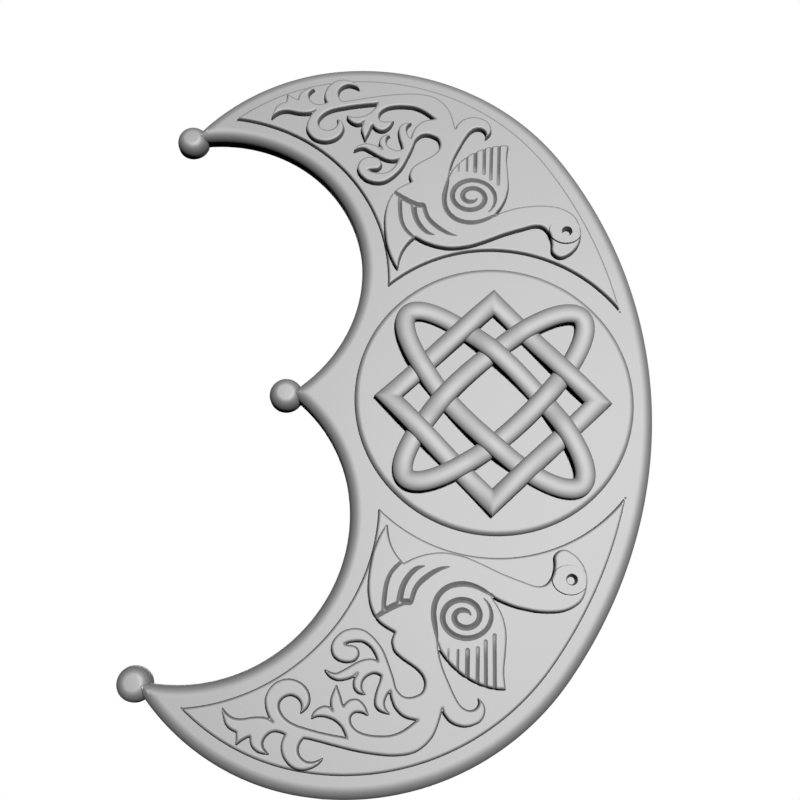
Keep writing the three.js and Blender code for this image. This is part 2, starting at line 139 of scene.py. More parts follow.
# %% Outline of the vine
VINE_RUNS = {
    "stem, outer side": [
        (-17.8, 118.6), (-19.2, 124), (-20.9, 128.1), (-23.1, 130.9), (-26.1, 133.3), (-29.1, 134.5),
        (-32.6, 135.1), (-36.1, 135.3), (-40, 135.1), (-45, 134.6), (-50, 133.8), (-55, 132.8),
        (-60, 131.7), (-64.9, 130.7), (-66.8, 130.5)],
    "upper curl, inner side": [
        (-66.8, 130.5), (-68, 132), (-68.6, 133.8), (-68.5, 135.4), (-67.6, 137), (-66, 138.2),
        (-64.4, 138.6), (-62.5, 138.4), (-59.8, 137.2)],
    "upper curl, outer side": [
        (-59.8, 137.2), (-60.4, 138.3), (-61.7, 139.5), (-63.4, 140.5), (-65.4, 141.1), (-67.4, 141.2),
        (-69.4, 140.7), (-71.2, 139.7), (-72.7, 138.2), (-73.9, 136.3), (-74.5, 134.3), (-74.5, 132.4),
        (-74, 130.6), (-73.4, 129.5)],
    "high tooth, inner side": [
        (-73.4, 129.5), (-74.9, 128.9), (-76.7, 128.6), (-78.4, 128.9), (-79.8, 129.8), (-80.9, 131.2),
        (-81.4, 132.7), (-81.1, 134.1), (-80.2, 135.3), (-79.1, 136.4)],
    "high tooth, outer side": [
        (-79.1, 136.4), (-80.8, 136.2), (-82.6, 135.8), (-84.1, 134.8), (-85.1, 133.7), (-85.7, 132.2),
        (-85.9, 130.6)],
    "low tooth, upper side": [(-85.9, 130.6), (-87.3, 131.2), (-88.8, 132.1), (-90.8, 133.7)],
    "low tooth, lower side": [(-90.8, 133.7), (-90.7, 131.9), (-90.8, 130.6), (-90.9, 129.3)],
    "far leaf, outer side": [
        (-90.9, 129.3), (-92.8, 128.5), (-94.1, 127.6), (-95.1, 126.4), (-95.7, 124.9), (-96.2, 123.3),
        (-96.8, 121.3)],
    "far leaf, inner side": [
        (-96.8, 121.3), (-95.3, 122.9), (-93.8, 124), (-92.1, 124.7), (-90.3, 124.9), (-88.3, 124.7),
        (-85.8, 124.2), (-83.3, 124), (-81.3, 124.1), (-79.8, 124.5), (-78.1, 125.5)],
    "lower curl, outer side": [
        (-78.1, 125.5), (-79.2, 124.3), (-80.3, 122.3), (-81.1, 120), (-81.4, 117.5), (-81, 115.6),
        (-80, 113.8), (-78.4, 112.1), (-76.4, 111), (-74.1, 110.5), (-71.9, 110.6), (-69.4, 111.5),
        (-67.4, 113), (-66, 115.1), (-65.5, 117.2), (-65.8, 119.2), (-66.7, 120.7), (-68.5, 122.1)],
    "lower curl, inner side": [
        (-68.5, 122.1), (-68.2, 120.5), (-68.4, 118.7), (-69.4, 117.2), (-70.9, 116.3), (-72.5, 116),
        (-74.2, 116.5), (-75.6, 117.5), (-76.4, 118.9), (-76.4, 120.5), (-75.7, 122.1), (-74.3, 123.8),
        (-72.4, 125.2), (-69.9, 126.3), (-67.4, 127), (-64.9, 127.6), (-61.9, 128.3), (-59, 128.8),
        (-56, 129.3), (-53.5, 129.6), (-51.5, 130)],
    "left sprout, upper side": [
        (-51.5, 130), (-52.2, 128.4), (-53.2, 126.6), (-54.5, 125.2), (-56, 124.1), (-58, 123.3),
        (-60, 122.9), (-61.9, 122.9), (-63.4, 123.3), (-64.4, 123.8)],
    "left sprout, lower side": [
        (-64.4, 123.8), (-64.1, 122.2), (-63.1, 120.9), (-61.7, 119.9), (-60.1, 119.4), (-58.8, 119.5),
        (-57.8, 120), (-57.1, 121)],
    "middle sprout, left side": [
        (-57.1, 121), (-57.7, 119.2), (-57.9, 117.3), (-57.6, 115.6), (-56.2, 112)],
    "middle sprout, right side": [
        (-56.2, 112), (-55.3, 114.1), (-54.5, 116), (-54, 117.7), (-53.3, 119.3)],
    "right sprout, lower side": [
        (-53.3, 119.3), (-52.5, 118.1), (-51.3, 117.1), (-49.8, 116.6), (-48.2, 116.7), (-46.8, 117.6),
        (-45.5, 119.1), (-44.8, 120.6), (-44.3, 121.9)],
    "stem, inner side": [
        (-44.3, 121.9), (-45.5, 121.4), (-47.2, 121), (-48.8, 121.1), (-49.9, 121.7), (-50.6, 122.9),
        (-50.6, 124.3), (-50, 125.6), (-48.8, 126.9), (-46.8, 128), (-44.5, 128.6), (-42, 128.9),
        (-39.1, 128.9), (-36.6, 128.7), (-34.1, 128), (-31.6, 126.8), (-29.3, 125.2), (-27.6, 123.8),
        (-26.5, 123)],
    "arm, upper side": [
        (-26.5, 123), (-28.6, 122.7), (-30.3, 122.3), (-32.1, 121.5), (-33.6, 120.2), (-34.9, 118.7),
        (-35.7, 117), (-36.3, 115.4), (-36.7, 113.3)],
    "high leaf, inner side": [
        (-36.7, 113.3), (-37.6, 114.3), (-38.3, 115.8), (-38.7, 117.5), (-38.3, 119.2), (-36.7, 121.2)],
    "high leaf, outer side": [
        (-36.7, 121.2), (-38.1, 120.9), (-39.9, 120.4), (-41.1, 119.5), (-41.9, 118.2), (-42.1, 116.5),
        (-41.8, 114.4), (-41.2, 112.1), (-40.5, 110.1), (-40.1, 108.1)],
    "middle leaf, inner side": [
        (-40.1, 108.1), (-41.2, 107.5), (-42.8, 107.3), (-44.5, 107.9), (-46, 109), (-46.9, 110.5),
        (-47.1, 112.1), (-46.8, 113.4), (-45.7, 114.7)],
    "middle leaf, outer side": [
        (-45.7, 114.7), (-47.2, 114.6), (-48.5, 114.1), (-49.5, 113), (-50, 111.6), (-50, 110),
        (-48.8, 107.6)],
    "low leaf, upper side": [
        (-48.8, 107.6), (-50.3, 108.8), (-52, 109.6), (-54, 110.1), (-55.8, 110.2), (-57.5, 109.7),
        (-59, 108.8), (-60.7, 106.7)],
    "low leaf, lower side": [
        (-60.7, 106.7), (-59.5, 107.2), (-57.8, 107.8), (-56.2, 107.8), (-54.8, 107.1), (-52.5, 105.8),
        (-50, 104.2), (-47.5, 103), (-45, 102.4), (-43, 102.5), (-41.6, 103.2)],
    "arm, inner side": [
        (-41.6, 103.2), (-42.3, 101.2), (-43.3, 99.4), (-44.5, 98), (-46, 96.9), (-47.5, 96.3),
        (-49.2, 96.2), (-51, 96.4), (-52.5, 96.7), (-54.2, 97.5)],
    "arm's curl and the bird's back": [
        (-54.2, 97.5), (-52.8, 97.8), (-51, 97.9), (-49.7, 98.4), (-48.9, 99.4), (-48.6, 100.7),
        (-49, 102), (-50, 103.1), (-51.5, 103.7), (-53.2, 103.8), (-55, 103.5), (-56.5, 102.8),
        (-57.7, 101.7), (-58.4, 100.3), (-58.7, 98.7), (-58.5, 97.4), (-57.8, 95.8), (-56.5, 94.3),
        (-54.8, 92.9), (-52.8, 92.1), (-50.5, 91.7), (-48.2, 91.9), (-46, 92.8), (-44, 94.3),
        (-42.2, 96.1), (-40.5, 98.2), (-39.1, 100.7), (-37.9, 103.5), (-36.6, 106.7), (-35.7, 109.1),
        (-34.7, 112.3), (-33.6, 113.8), (-32.1, 115), (-30.3, 115.4), (-28.6, 115.2), (-26.9, 114.6),
        (-25.3, 113.6), (-24.5, 112.1), (-24.2, 110.3), (-24.6, 108.6), (-25.6, 106.9), (-27.4, 105.2),
        (-29.6, 103.7), (-32.1, 102.2), (-34.1, 100.7), (-35.6, 99.2), (-36.4, 97.5), (-36.7, 95.8),
        (-36.4, 94.1), (-35.7, 92.5)],
}
print(len(VINE_RUNS), "runs round the vine")

# %% Outline of the bird
BIRD_RUNS = {
    "tail, outer side": [
        (-35.7, 92.5), (-38.1, 91.3), (-40, 90.2), (-42, 88.6), (-43.5, 86.7), (-44.8, 84.1),
        (-45.6, 81.4), (-46.1, 78.5), (-46.3, 75), (-46.1, 71), (-45.6, 67.1), (-45, 63.6),
        (-44.1, 60.7), (-43, 57.7), (-41.7, 55), (-40.2, 52.7)],
    "tail, inner side": [
        (-40.2, 52.7), (-40, 54.2), (-39.7, 56.2), (-39, 59), (-38.1, 61.2), (-37, 63.1), (-35.6, 65),
        (-33.5, 67.2)],
    "belly and throat": [
        (-33.5, 67.2), (-31.9, 66.3), (-30.1, 65.3), (-27.6, 64.3), (-25.1, 63.5), (-22.6, 63),
        (-20.1, 62.7), (-17.7, 62.7), (-15.2, 63), (-12.7, 63.5), (-10.2, 64.1), (-7.7, 65),
        (-5.2, 66), (-1.5, 67.6), (1.6, 69), (4.8, 70.3), (8.4, 71.6), (11.2, 72.5),
        (13.4, 73.3), (15.2, 73.8), (17.1, 74), (18.5, 73.8), (19.7, 73.2), (20.8, 72.1),
        (21.7, 70.7), (22.4, 68.9), (22.8, 67), (22.9, 65.2), (22.8, 63.4), (23.1, 62.2),
        (23.9, 61.2), (25.1, 60.3), (26.5, 60), (27.9, 60.3), (29.5, 61.2), (31.1, 62.4),
        (32.5, 64), (33.6, 65.6), (34.3, 67.4), (34.8, 69.3), (34.9, 71.2), (34.7, 73.3),
        (34.3, 75.3), (33.6, 77.1), (32.4, 79), (30.8, 80.4), (29, 81.5), (27, 82.4),
        (24.7, 83), (22, 83.3), (18.9, 83.4), (15.7, 83.2), (12.5, 82.7), (9.7, 82.2),
        (7.1, 81.5), (4.8, 80.7), (2.5, 79.8), (0.7, 78.9), (-0.7, 77.8)],
    "wing, right side": [
        (-0.7, 77.8), (0.2, 79.5), (1.5, 81.3), (2.7, 83.4), (3.8, 85.9), (4.5, 88.4), (4.9, 90.8),
        (5, 93.3), (4.9, 95.8), (4.7, 98.7), (4.4, 101.7), (4.2, 104.7), (4.3, 107.1), (4.8, 111.3)],
    "wing, top": [
        (4.8, 111.3), (2.2, 111.3), (-0.2, 111), (-3.2, 110.3), (-5.7, 109.4), (-8.2, 108.2),
        (-10.7, 106.8), (-13.2, 104.9), (-15.7, 102.6), (-17.7, 100.3), (-19, 98.5), (-20.1, 95.8)],
    "hook, inner side": [
        (-20.1, 95.8), (-19.7, 98.7), (-19, 101.7), (-18, 104.7), (-17, 107.1), (-15.7, 109.8),
        (-14.5, 112.4), (-13.2, 114.8), (-12.2, 116.4), (-11, 117.8), (-9.7, 118.7), (-8.2, 119.1),
        (-6.7, 118.9), (-5.5, 118.1), (-4.8, 117), (-4.6, 115.9), (-4.9, 114.8)],
    "hook, outer side": [
        (-4.9, 114.8), (-4, 115.6), (-3.2, 116.5), (-2.6, 118), (-2.6, 119.7), (-3.2, 121.4),
        (-4.4, 122.8), (-6.2, 123.8), (-8, 124.4), (-10, 124.6), (-12, 124.3), (-13.7, 123.7),
        (-15.2, 122.8), (-16.4, 121.5), (-17.4, 120.1), (-17.8, 118.6)],
}
print(len(BIRD_RUNS), "runs round the bird")

# %% [markdown]
# The grooves of wing and tail are V-shaped cuts. Each is a spine of points with half widths, so that
# a groove can start and end in a point.

# %% Grooves of wing and tail
GROOVES = {
    "wing_edge": [
        (-20.1, 96, 0.26), (-20.6, 92.8, 0.7), (-21.2, 89.8, 0.97), (-21.7, 86.9, 1.06),
        (-21.8, 84.4, 1.06), (-21.5, 81.9, 1.06), (-20.6, 79.5, 1.06), (-19.2, 77.5, 1.06),
        (-17, 75.7, 1.06), (-14.2, 74.6, 1.06), (-11.2, 74.2, 1.06), (-8.2, 74.5, 0.97),
        (-5.7, 75.3, 0.88), (-3.2, 76.5, 0.79), (-0.7, 77.9, 0.53)],
    "feather_1": [(-16.1, 97.9, 0.4), (-16.1, 103.7, 0.4)],
    "feather_2": [(-12.6, 98.2, 0.53), (-12.6, 106.7, 0.53)],
    "feather_3": [(-9.1, 98.1, 0.88), (-9.1, 109.6, 0.88)],
    "feather_4": [(-5.4, 97.2, 0.75), (-5.4, 111.1, 0.75)],
    "feather_5": [(-2.6, 94.7, 0.75), (-2.3, 112.6, 0.75)],
    "feather_6": [(0.6, 92.4, 0.75), (0.9, 113.1, 0.75)],
    "tail_bar": [
        (-43.8, 87.9, 0.7), (-41.8, 86.6, 0.88), (-39.3, 84.8, 1.14), (-37.1, 83.5, 1.23),
        (-35.1, 82.5, 1.23), (-32.8, 81.6, 1.23), (-30.7, 81.5, 1.23)],
    "tail_1": [
        (-40.2, 84.4, 0.85), (-40.2, 81.9, 0.92), (-40, 79, 0.92), (-39.5, 75, 0.88),
        (-38.1, 71.2, 0.79), (-36.3, 68.8, 0.79), (-34.4, 67, 0.7)],
    "tail_2": [
        (-34.7, 82.3, 1.1), (-34.4, 80.4, 1.23), (-33.5, 76, 1.14), (-31.4, 72, 1.06),
        (-28.5, 69.1, 0.88), (-25.7, 68.1, 0.31)],
    "tail_3": [
        (-30.4, 81.7, 0.9), (-30.1, 80.9, 0.92), (-28.5, 76, 0.97), (-24.7, 72, 1.06),
        (-20.1, 69.1, 0.79), (-16.4, 68, 0.31)],
}
SPIRAL_MIDDLE = (-10.6, 86.0)
SPIRAL_START, SPIRAL_GROWTH, SPIRAL_STRETCH = 2.16, 0.6, 1.14
SPIRAL_POINTS = 70
SPIRAL_TURNS = [-1.3, 0.0, 2.0, 9.0, 11.0, 11.8]
SPIRAL_HALF_WIDTHS = [0.35, 1.0, 1.1, 1.1, 0.85, 0.3]


def spiral():
    """The wing's spiral: from below its middle clockwise, its radius grows evenly with the turn."""
    turn = np.linspace(SPIRAL_TURNS[0], SPIRAL_TURNS[-1], SPIRAL_POINTS)
    radius = SPIRAL_START + SPIRAL_GROWTH * np.maximum(turn, 0.0)
    x = SPIRAL_MIDDLE[0] - SPIRAL_STRETCH * radius * np.sin(turn)
    y = SPIRAL_MIDDLE[1] - radius * np.cos(turn)
    half = np.interp(turn, SPIRAL_TURNS, SPIRAL_HALF_WIDTHS)
    return np.stack([x, y, half], 1)


GROOVES["spiral"] = spiral()
HEAD = (28.3, 71.4)
HEAD_LONG, HEAD_SHORT = 6.6, 5.5
EYE = (29, 71.3)
EYE_RADIUS, EYE_FLOOR, EYE_DEPTH = 2.2, 1.4, 3.1
print(len(GROOVES), "grooves")


# %% Curves and distances for the drawing
TINY = 1e-12  # keeps a division away from nothing


def curve_through(points, per_span):
    """A smooth curve through the points, as cubic spans. Each span's slopes come from its
    neighbours, weighed by the square roots of the distances, which keeps tight curls round."""
    p = np.array(points, float)
    p = np.concatenate([2 * p[:1] - p[1:2], p, 2 * p[-1:] - p[-2:-1]])
    root = np.sqrt(np.linalg.norm(np.diff(p, axis=0), axis=1))[:, None]
    a, b, c, d = p[:-3], p[1:-2], p[2:-1], p[3:]
    before, here, after = root[:-2], root[1:-1], root[2:]
    leave = here * ((b - a) / before - (c - a) / (before + here) + (c - b) / here)
    arrive = here * ((c - b) / here - (d - b) / (here + after) + (d - c) / after)
    t = np.linspace(0.0, 1.0, per_span, endpoint=False)[:, None, None]
    line = b + leave * t + (3 * (c - b) - 2 * leave - arrive) * t**2 + (2 * (b - c) + leave + arrive) * t**3
    line = np.swapaxes(line, 0, 1).reshape(-1, p.shape[1])
    return np.concatenate([line, p[-2:-1]])


def outside_stroke(x, y, points, per_span):
    """How far a spot lies outside a stroke: the distance to the nearest piece of its spine, less
    the half width there, for the piece that gives the least."""
    line = curve_through(points, per_span)
    start, way = line[:-1], np.diff(line, axis=0)
    length = np.maximum((way[:, :2] ** 2).sum(1), TINY)
    dx, dy = x[:, None] - start[:, 0], y[:, None] - start[:, 1]
    share = np.clip((dx * way[:, 0] + dy * way[:, 1]) / length, 0.0, 1.0)
    off = np.hypot(dx - share * way[:, 0], dy - share * way[:, 1])
    return (off - start[:, 2] - share * way[:, 2]).min(1)


def outside_outline(x, y, outline):
    """How far a spot lies outside a closed outline: the distance to its nearest side, negative
    when a line to the right of the spot crosses the outline an odd number of times."""
    start, end = outline, np.roll(outline, -1, axis=0)
    way = end - start
    length = np.maximum((way**2).sum(1), TINY)
    dx, dy = x[:, None] - start[:, 0], y[:, None] - start[:, 1]
    share = np.clip((dx * way[:, 0] + dy * way[:, 1]) / length, 0.0, 1.0)
    off = np.hypot(dx - share * way[:, 0], dy - share * way[:, 1]).min(1)
    spans = (start[:, 1] > y[:, None]) != (end[:, 1] > y[:, None])
    rise = np.where(np.abs(way[:, 1]) < TINY, 1.0, way[:, 1])
    crossing = start[:, 0] + dy * way[:, 0] / rise > x[:, None]
    inside = (spans & crossing).sum(1) % 2 == 1
    return np.where(inside, -off, off)


print("the stem's curve has", len(curve_through(VINE_RUNS["stem, outer side"], 4)), "points")

# %% [markdown]
# ## A grid to read the distances on
# The vine has many short lines, so its distances are worked out once on a fine square grid. Each
# stroke only fills the part of the grid around it. Between the grid's spots the values are blended.


# %% The grid
PARTS = 16  # a stroke's spots are worked out in so many parts, to spare memory


class Grid:
    """A square grid of spots with one value each, read between its spots by blending the four
    corners of the cell that a spot is in."""

    def __init__(self, low, high, pitch):
        self.low, self.pitch = np.array(low, float), pitch
        counts = np.ceil((np.array(high) - low) / pitch).astype(int) + 1
        self.x = self.low[0] + pitch * np.arange(counts[0])
        self.y = self.low[1] + pitch * np.arange(counts[1])

    def filled(self, function):
        x, y = np.meshgrid(self.x, self.y, indexing="ij")
        return function(x, y)

    def lowered(self, values, function, points, margin):
        """Takes the lesser of values and function around the points."""
        low = points.min(0)[:2] - margin
        high = points.max(0)[:2] + margin
        i = slice(*np.searchsorted(self.x, (low[0], high[0])))
        j = slice(*np.searchsorted(self.y, (low[1], high[1])))
        x, y = np.meshgrid(self.x[i], self.y[j], indexing="ij")
        found = np.concatenate([function(part_x, part_y) for part_x, part_y in
                                zip(np.array_split(x.ravel(), PARTS), np.array_split(y.ravel(), PARTS))])
        values[i, j] = np.minimum(values[i, j], found.reshape(x.shape))

    def read(self, values, x, y):
        u = np.clip((x - self.low[0]) / self.pitch, 0, len(self.x) - 1.001)
        v = np.clip((y - self.low[1]) / self.pitch, 0, len(self.y) - 1.001)
        i, j = u.astype(int), v.astype(int)
        u, v = u - i, v - j
        low = values[i, j] * (1 - u) + values[i + 1, j] * u
        high = values[i, j + 1] * (1 - u) + values[i + 1, j + 1] * u
        return low * (1 - v) + high * v


CARVING_PITCH = 0.36
carving_grid = Grid((-102.0, 48.0), (40.0, 146.0), CARVING_PITCH)
print("the carving's grid has", len(carving_grid.x), "by", len(carving_grid.y), "spots")

# %% Distances to the carving and the grooves
FAR = 20.0  # the distance where nothing is near
SPAN_STEPS = 4  # short lines between two drawn points
FIGURE_MARGIN, GROOVE_MARGIN = 3.0, 4.0

figure_runs = list(VINE_RUNS.values()) + list(BIRD_RUNS.values())
figure = np.concatenate([curve_through(run, SPAN_STEPS)[:-1] for run in figure_runs])
carving_distance = np.full((len(carving_grid.x), len(carving_grid.y)), FAR)
carving_grid.lowered(carving_distance, lambda x, y: outside_outline(x, y, figure), figure, FIGURE_MARGIN)

groove_distance = np.full(carving_distance.shape, FAR)
for points in GROOVES.values():
    carving_grid.lowered(groove_distance, lambda x, y: outside_stroke(x, y, points, SPAN_STEPS),
                         np.array(points), GROOVE_MARGIN)


def outside_head(x, y):
    """How far a spot lies outside the head's raised oval, measured as on a stretched circle."""
    across = np.hypot((x - HEAD[0]) / HEAD_LONG, (y - HEAD[1]) / HEAD_SHORT)
    return (across - 1.0) * HEAD_SHORT


print("the carving lies inside its outline at", int((carving_distance < 0).sum()), "spots")

# %% [markdown]
# ## How high is each spot?
# The raised parts have steep sides whose upper edges are eased by sanding, so a section through an
# edge is a steep climb and then a quarter of an ellipse. Adding up such sections gives the whole
# face. The mesh's lines are traced a hair off their true places, so a small slack at both ends of a
# climb gives their points the very height of the flat beside them.

# %% Height of the face
PANEL_RISE = 2.0
CARVING_RISE = 2.8
HEAD_RISE = 0.9
FOOT_SPREAD = 0.3  # the width of a steep climb
EDGE_SOFTNESS, EDGE_DROP = 0.9, 0.8  # the eased edge, across and down
GROOVE_STEEP = 1.3  # a groove's depth for each millimetre in from its edge
HEAD_SLOPE = 0.24
SLACK = 0.02
CLIMB_SLACK = 0.12


def climb(distance, outer, inner):
    """0 beyond the outer distance and 1 within the inner one, and straight between them."""
    slack = CLIMB_SLACK * (outer - inner)
    return np.clip((outer - slack - distance) / (outer - inner - 2 * slack), 0.0, 1.0)


def rounded(inwards, radius):
    """The rise of a quarter circle from 0 at the edge to its radius at that distance inwards."""
    inwards = np.where(inwards < SLACK * radius / 4, 0.0, np.minimum(inwards, radius))
    return np.sqrt(np.maximum(radius**2 - (radius - inwards) ** 2, 0.0))


def raised(distance, rise):
    """A raised part with eased edges: a steep climb to the rise less the drop, then a quarter of an
    ellipse as wide as the softness and as high as the drop."""
    steep = (rise - EDGE_DROP) * climb(distance, FOOT_SPREAD, 0.0)
    return steep + rounded(-distance, EDGE_SOFTNESS) * EDGE_DROP / EDGE_SOFTNESS


def face_height(x, y):
    """Plate, rounded rim, disc and panel, then the carving less its grooves and the bird's eye."""
    up = np.abs(y)
    height = PLATE - EDGE_ROUND + rounded(inside_plate(x, y), EDGE_ROUND)
    height += rounded(-outside_disc(x, y), DISC_RISE)
    height += raised(outside_panel(x, y), PANEL_RISE)
    crown = HEAD_RISE * climb(outside_head(x, up), HEAD_SLOPE / 2, -HEAD_SLOPE / 2)
    outside = carving_grid.read(carving_distance, x, up)
    carved = raised(outside, CARVING_RISE) + crown * (outside < 0.0)
    depth = GROOVE_STEEP * np.maximum(-carving_grid.read(groove_distance, x, up), 0.0)
    pit = EYE_DEPTH * climb(from_centre(x, up, EYE), EYE_RADIUS, EYE_FLOOR)
    return height + np.maximum(carved - depth - pit, 0.0)


print("height of the disc:", face_height(np.array([0.0]), np.array([0.0]))[0])

# %% [markdown]
# ## Lines where the slope changes
# A mesh shows a crisp edge only where its own edges follow it. So the level lines of the distances
# are traced: in every cell of the grid where the value passes the level, the crossing points on
# the cell's sides are joined. All cells are handled at once. A guard line runs on the flat close to
# each edge. It keeps the long thin triangles of the flat away from the edge, where they would smear
# the shading.


# %% Tracing level lines
LEAST_SHARE = 0.06  # of the pitch: a value nearer the level than this is moved off it


def level_line(grid, values, level):
    """The level line as points and the pairs that join them. A crossing lies on a grid side where
    the value passes the level, placed in proportion to the two end values."""
    f = values - level
    near = LEAST_SHARE * grid.pitch
    f = np.where(np.abs(f) < near, np.where(f < 0, -near, near), f)
    up = f > 0
    flat = up[:-1] != up[1:]
    upright = up[:, :-1] != up[:, 1:]
    flat_id = np.cumsum(flat).reshape(flat.shape) - 1
    upright_id = np.cumsum(upright).reshape(upright.shape) - 1 + flat.sum()
    i, j = np.nonzero(flat)
    share = f[i, j] / (f[i, j] - f[i + 1, j])
    on_flat = np.stack([grid.x[i] + share * grid.pitch, grid.y[j]], 1)
    i, j = np.nonzero(upright)
    share = f[i, j] / (f[i, j] - f[i, j + 1])
    on_upright = np.stack([grid.x[i], grid.y[j] + share * grid.pitch], 1)
    sides = [(flat[:, :-1], flat_id[:, :-1]), (flat[:, 1:], flat_id[:, 1:]),
             (upright[:-1], upright_id[:-1]), (upright[1:], upright_id[1:])]
    count = sum(crossed.astype(int) for crossed, _ in sides)
    pairs = []
    for a in range(4):
        for b in range(a + 1, 4):
            both = sides[a][0] & sides[b][0] & (count == 2)
            pairs.append(np.stack([sides[a][1][both], sides[b][1][both]], 1))
    for a, b in ((0, 2), (1, 3)):
        both = count == 4
        pairs.append(np.stack([sides[a][1][both], sides[b][1][both]], 1))
    return np.concatenate([on_flat, on_upright]), np.concatenate(pairs)


def spine_line(points, per_span):
    """The middle line of a groove, as points and the pairs that join them."""
    line = curve_through(points, per_span)[:, :2]
    step = np.arange(len(line) - 1)
    return line, np.stack([step, step + 1], 1)


# %% The plate's lines
RIM_PITCH, BORDER_PITCH = 0.95, 0.5
RIM_GUARD, BORDER_GUARD, EDGE_GUARD, DISC_GUARD = 0.35, 0.35, 0.15, 0.25
ROUND_STEPS = 7

rim_grid = Grid((-141.0, 0.0), (66.0, 154.0), RIM_PITCH)
border_grid = Grid((-120.0, 0.0), (58.0, 147.0), BORDER_PITCH)
rim_values = rim_grid.filled(inside_plate)
border_values = border_grid.filled(outside_panel)
lines = []
for step in range(ROUND_STEPS + 1):
    inwards = EDGE_ROUND * (1 - math.cos(math.pi / 2 * step / ROUND_STEPS))
    lines.append(level_line(rim_grid, rim_values, inwards))
lines.append(level_line(rim_grid, rim_values, EDGE_ROUND + RIM_GUARD))
EDGE_TURNS = np.radians([0.0, 30.0, 50.0, 70.0, 90.0])
EDGE_LEVELS = [FOOT_SPREAD, *(-EDGE_SOFTNESS * (1 - np.cos(EDGE_TURNS))), -EDGE_SOFTNESS - EDGE_GUARD]
for level in (*EDGE_LEVELS, FOOT_SPREAD + BORDER_GUARD):
    lines.append(level_line(border_grid, border_values, level))
print(sum(len(points) for points, _ in lines), "points on the lines of rim and panels")


# %% The disc's lines
def ring_line(centre, radius, count):
    """Half a ring of points above the middle line, or a whole one when its centre is above it."""
    turn = math.pi if centre[1] == 0 else 2 * math.pi
    angle = np.linspace(0.0, turn, count)
    points = np.stack([centre[0] + radius * np.cos(angle), centre[1] + radius * np.sin(angle)], 1)
    step = np.arange(count - 1)
    return points, np.stack([step, step + 1], 1)


DISC_STEPS = 5
DISC_POINTS = 241
for step in range(DISC_STEPS + 1):
    inwards = DISC_RISE * (1 - math.cos(math.pi / 2 * step / DISC_STEPS))
    lines.append(ring_line((0.0, 0.0), DISC_RADIUS - inwards, DISC_POINTS))
lines.append(ring_line((0.0, 0.0), DISC_RADIUS - DISC_RISE - DISC_GUARD, DISC_POINTS))
print(sum(len(points) for points, _ in lines), "points with the disc's lines")

# %% The carving's lines
GROOVE_GUARD = 0.22
SPINE_STEPS = 3
EYE_POINTS = 65

for level in EDGE_LEVELS:
    lines.append(level_line(carving_grid, carving_distance, level))
for level in (0.0, GROOVE_GUARD):
    lines.append(level_line(carving_grid, groove_distance, level))
for points in GROOVES.values():
    lines.append(spine_line(points, SPINE_STEPS))
lines.append(ring_line(EYE, EYE_RADIUS, EYE_POINTS))
lines.append(ring_line(EYE, EYE_FLOOR, EYE_POINTS))
head_values = carving_grid.filled(outside_head)
for level in (-HEAD_SLOPE / 2, HEAD_SLOPE / 2):
    lines.append(level_line(carving_grid, head_values, level))
print(sum(len(points) for points, _ in lines), "points with the carving's lines")

# %% [markdown]
# ## From lines to a closed body
# A constrained triangulation fills the plane with triangles whose edges include every traced line.
# Each of its points gets its height, walls drop from the rim to the back, and the back closes it.


# %% The carved plate
MERGED_WITHIN = 1e-4  # points closer than this become one


def triangulated(points, pairs):
    """Triangles within the outermost closed lines, as points and corner numbers."""
    flat = delaunay_2d_cdt([Vector(p) for p in points.tolist()], pairs.tolist(), [], 1, MERGED_WITHIN)
    return np.array([tuple(p) for p in flat[0]]), np.array(flat[2])


def both_horns(parts):
    """All lines in one list, once as they are and once mirrored below the middle line."""
    points, pairs, count = [], [], 0
    for part_points, part_pairs in parts:
        for flip in (1.0, -1.0):
            points.append(part_points * [1.0, flip])
            pairs.append(part_pairs + count)
            count += len(part_points)
    return np.concatenate(points), np.concatenate(pairs)


def facing_up(points, triangles):
    """The same triangles, each turned so that its corners run anticlockwise."""
    a, b, c = (points[triangles[:, k]] for k in range(3))
    area = (b[:, 0] - a[:, 0]) * (c[:, 1] - a[:, 1]) - (b[:, 1] - a[:, 1]) * (c[:, 0] - a[:, 0])
    return np.where((area > 0)[:, None], triangles, triangles[:, ::-1])


def rim_edges(triangles, count):
    """The directed edges that no other triangle shares: an edge from a to b has the number
    a times count plus b, and it is on the rim when the number of its reverse is missing."""
    edges = np.concatenate([triangles[:, [0, 1]], triangles[:, [1, 2]], triangles[:, [2, 0]]])
    forward = edges[:, 0] * count + edges[:, 1]
    backward = edges[:, 1] * count + edges[:, 0]
    return edges[~np.isin(forward, backward)]


face_points, face_triangles = triangulated(*both_horns(lines))
face_triangles = facing_up(face_points, face_triangles)
rim = rim_edges(face_triangles, len(face_points))
rim_points, rim_number = np.unique(rim, return_inverse=True)
rim_number = rim_number.reshape(rim.shape)
back_points, back_triangles = triangulated(face_points[rim_points], rim_number)
print(len(face_triangles), "triangles on the face,", len(back_triangles), "on the back")

# %% Closing the plate
count = len(face_points)
below = count + rim_number
wall_one = np.stack([rim[:, 0], below[:, 0], below[:, 1]], 1)
wall_two = np.stack([rim[:, 0], below[:, 1], rim[:, 1]], 1)
back = facing_up(back_points, back_triangles)[:, ::-1] + count
heights = face_height(face_points[:, 0], face_points[:, 1])
top = np.column_stack([face_points, heights])
bottom = np.column_stack([back_points, np.zeros(len(back_points))])
plate_points = np.concatenate([top, bottom])
plate_triangles = np.concatenate([face_triangles, wall_one, wall_two, back])


